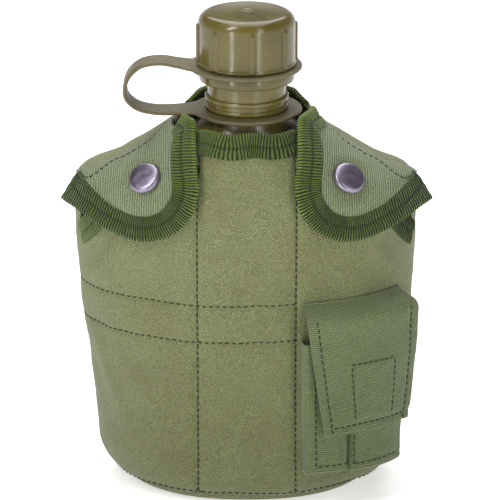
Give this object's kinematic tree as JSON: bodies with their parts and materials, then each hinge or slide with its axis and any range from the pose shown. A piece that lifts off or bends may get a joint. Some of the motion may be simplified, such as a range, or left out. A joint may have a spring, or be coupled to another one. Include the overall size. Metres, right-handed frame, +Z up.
{
  "type": "canteen in fabric cover",
  "caption": "Kidney-shaped plastic canteen with ribbed screw cap and strap tether, in a padded fabric belt cover with snap shoulder flaps and a small front pocket.",
  "frame": {"origin": "middle of the cover's flat base, under the neck's axis", "axes": "+X to the right seen from the front, +Y to the back (worn side), +Z up; the front with the pocket faces -Y"},
  "size_m": [0.1586, 0.1001, 0.218],
  "materials": {
    "bottle": "moulded polyethylene, faint sheen",
    "cap": "moulded, soft gloss",
    "seal": "soft disc",
    "tether": "flexible moulded strap, soft gloss",
    "cover": "coated plain-weave polyester",
    "flap": "coated plain-weave polyester, two layers",
    "pocket": "coated plain-weave polyester",
    "tape": "ribbed grosgrain binding",
    "lining": "acrylic pile",
    "webbing": "flat woven webbing",
    "keeper": "dark phosphated steel",
    "snap": "gloss black lacquered brass",
    "touch_tape": "hook and loop tape"
  },
  "bodies": {
    "carrier": {"bottle": "bottle", "bottom_panel": "cover", "front_center_panel": "cover", "back_panel": "cover", "front_edge_tape": "tape", "back_edge_tape": "tape", "lining_front": "lining", "lining_back": "lining", "pocket_pouch": "pocket", "pocket_flap_root": "pocket", "pocket_loop_tape": "touch_tape", "left_front_panel": "cover", "right_front_panel": "cover", "left_ridge_welt": "cover", "right_ridge_welt": "cover", "left_belt_hanger": "webbing", "right_belt_hanger": "webbing", "left_keeper_frame": "keeper", "right_keeper_frame": "keeper", "left_snap_stud": "snap", "right_snap_stud": "snap", "left_snap_post": "snap", "right_snap_post": "snap"},
    "cap_seal": {"cap_seal": "seal"},
    "cap": {"cap": "cap"},
    "tether_neck": {"tether_neck_half": "tether"},
    "tether_cap": {"tether_cap_half": "tether"},
    "left_flap": {"left_flap": "flap", "left_flap_tape": "tape", "left_snap_cap": "snap", "left_snap_socket": "snap"},
    "right_flap": {"right_flap": "flap", "right_flap_tape": "tape", "right_snap_cap": "snap", "right_snap_socket": "snap"},
    "pocket_flap": {"pocket_flap": "pocket", "pocket_hook_tape": "touch_tape"},
    "left_keeper_slide": {"left_keeper_slide": "keeper"},
    "right_keeper_slide": {"right_keeper_slide": "keeper"}
  },
  "joints": [
    {"name": "cap_lift", "type": "slide", "parent": "carrier", "child": "cap_seal", "axis": [0, 0, 1], "range_m": [0, 0.0113]},
    {"name": "cap_turn", "type": "hinge", "parent": "cap_seal", "child": "cap", "pos_m": [0, 0, 0.2], "axis": [0, 0, 1], "range_deg": [0, 810]},
    {"name": "tether_swivel", "type": "hinge", "parent": "carrier", "child": "tether_neck", "pos_m": [0, 0, 0.1732], "axis": [0, 0, -1], "range_deg": [0, 10]},
    {"name": "tether_lift", "type": "slide", "parent": "tether_neck", "child": "tether_cap", "axis": [0, 0, 1], "range_m": [0, 0.0113]},
    {"name": "left_flap_open", "type": "hinge", "parent": "carrier", "child": "left_flap", "pos_m": [-0.033, -0.009, 0.1715], "axis": [-0.8556, 0.0796, -0.5114], "range_deg": [0, 100]},
    {"name": "right_flap_open", "type": "hinge", "parent": "carrier", "child": "right_flap", "pos_m": [0.033, -0.009, 0.1715], "axis": [-0.8556, -0.0796, 0.5114], "range_deg": [0, 100]},
    {"name": "pocket_flap_open", "type": "hinge", "parent": "carrier", "child": "pocket_flap", "pos_m": [0.05576, -0.03841, 0.0924], "axis": [-0.8572, -0.515, 0], "range_deg": [0, 100]},
    {"name": "left_keeper_drop", "type": "slide", "parent": "carrier", "child": "left_keeper_slide", "axis": [0, 0, -1], "range_m": [0, 0.008]},
    {"name": "right_keeper_drop", "type": "slide", "parent": "carrier", "child": "right_keeper_slide", "axis": [0, 0, -1], "range_m": [0, 0.008]}
  ],
  "couplings": [
    {"joint": "cap_lift", "follows": "cap_turn", "m_per_rad": 0.00079577},
    {"joint": "tether_lift", "follows": "cap_turn", "m_per_rad": 0.00079577}
  ]
}
